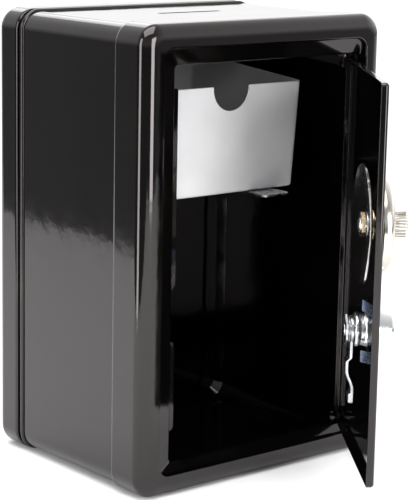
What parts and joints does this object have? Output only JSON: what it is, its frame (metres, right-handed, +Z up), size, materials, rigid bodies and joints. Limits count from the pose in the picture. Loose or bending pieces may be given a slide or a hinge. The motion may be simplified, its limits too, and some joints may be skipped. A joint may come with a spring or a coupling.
{
  "type": "toy safe coin bank",
  "caption": "Upright black steel toy safe with a hinged door, a turning dial and disc, a cam lock, a coin slot in its top and a sliding coin tray under the slot.",
  "frame": {"origin": "middle of the box round the whole object at rest (door open 54 degrees), at the surface it stands on", "axes": "+Z up, -Y towards the front with the door, +X towards the hinge side"},
  "size_m": [0.12, 0.1629, 0.18],
  "materials": {
    "black_enamel": "gloss stoved enamel",
    "nickel": "bright nickel plate",
    "zinc": "zinc plate",
    "brass": "plain brass",
    "chrome": "bright chrome plate",
    "blued_steel": "tempered spring steel",
    "silver_plastic": "satin silver-grey"
  },
  "bodies": {
    "root": {"front_frame": "black_enamel", "body_band": "black_enamel", "back_cover": "black_enamel", "strike_lower": "black_enamel", "strike_upper": "black_enamel", "hinge_bracket_lower": "black_enamel", "hinge_bracket_upper": "black_enamel", "hinge_pin_lower": "black_enamel", "hinge_pin_upper": "black_enamel", "tray_shelf_left": "black_enamel", "tray_shelf_right": "black_enamel"},
    "door": {"door_panel": "black_enamel", "hinge_lug_lower": "black_enamel", "hinge_lug_upper": "black_enamel", "dial_bush": "brass", "lock_housing": "chrome", "lock_clip": "blued_steel"},
    "dial": {"dial_plate": "nickel", "dial_knob": "nickel", "dial_shaft": "zinc", "lock_disc": "zinc", "disc_washer": "zinc", "disc_nut": "brass"},
    "lock": {"lock_plug": "chrome", "lock_washer": "zinc", "lock_cam": "zinc", "lock_nut": "zinc"},
    "tray": {"coin_tray": "silver_plastic", "tray_tongue": "zinc", "tray_rivet": "zinc"}
  },
  "joints": [
    {"name": "door_hinge", "type": "hinge", "parent": "root", "child": "door", "pos_m": [0.046, -0.00797, 0.08835], "axis": [0, 0, 1], "range_deg": [-54, 41]},
    {"name": "dial_spin", "type": "hinge", "parent": "door", "child": "dial", "pos_m": [0.00972, -0.06505, 0.108], "axis": [-0.809, 0.5878, 0], "continuous": true},
    {"name": "lock_turn", "type": "hinge", "parent": "door", "child": "lock", "pos_m": [0.00972, -0.06505, 0.0682], "axis": [-0.809, 0.5878, 0], "range_deg": [0, 90]},
    {"name": "tray_slide", "type": "slide", "parent": "root", "child": "tray", "axis": [0, -1, 0], "range_m": [0, 0.007]}
  ]
}
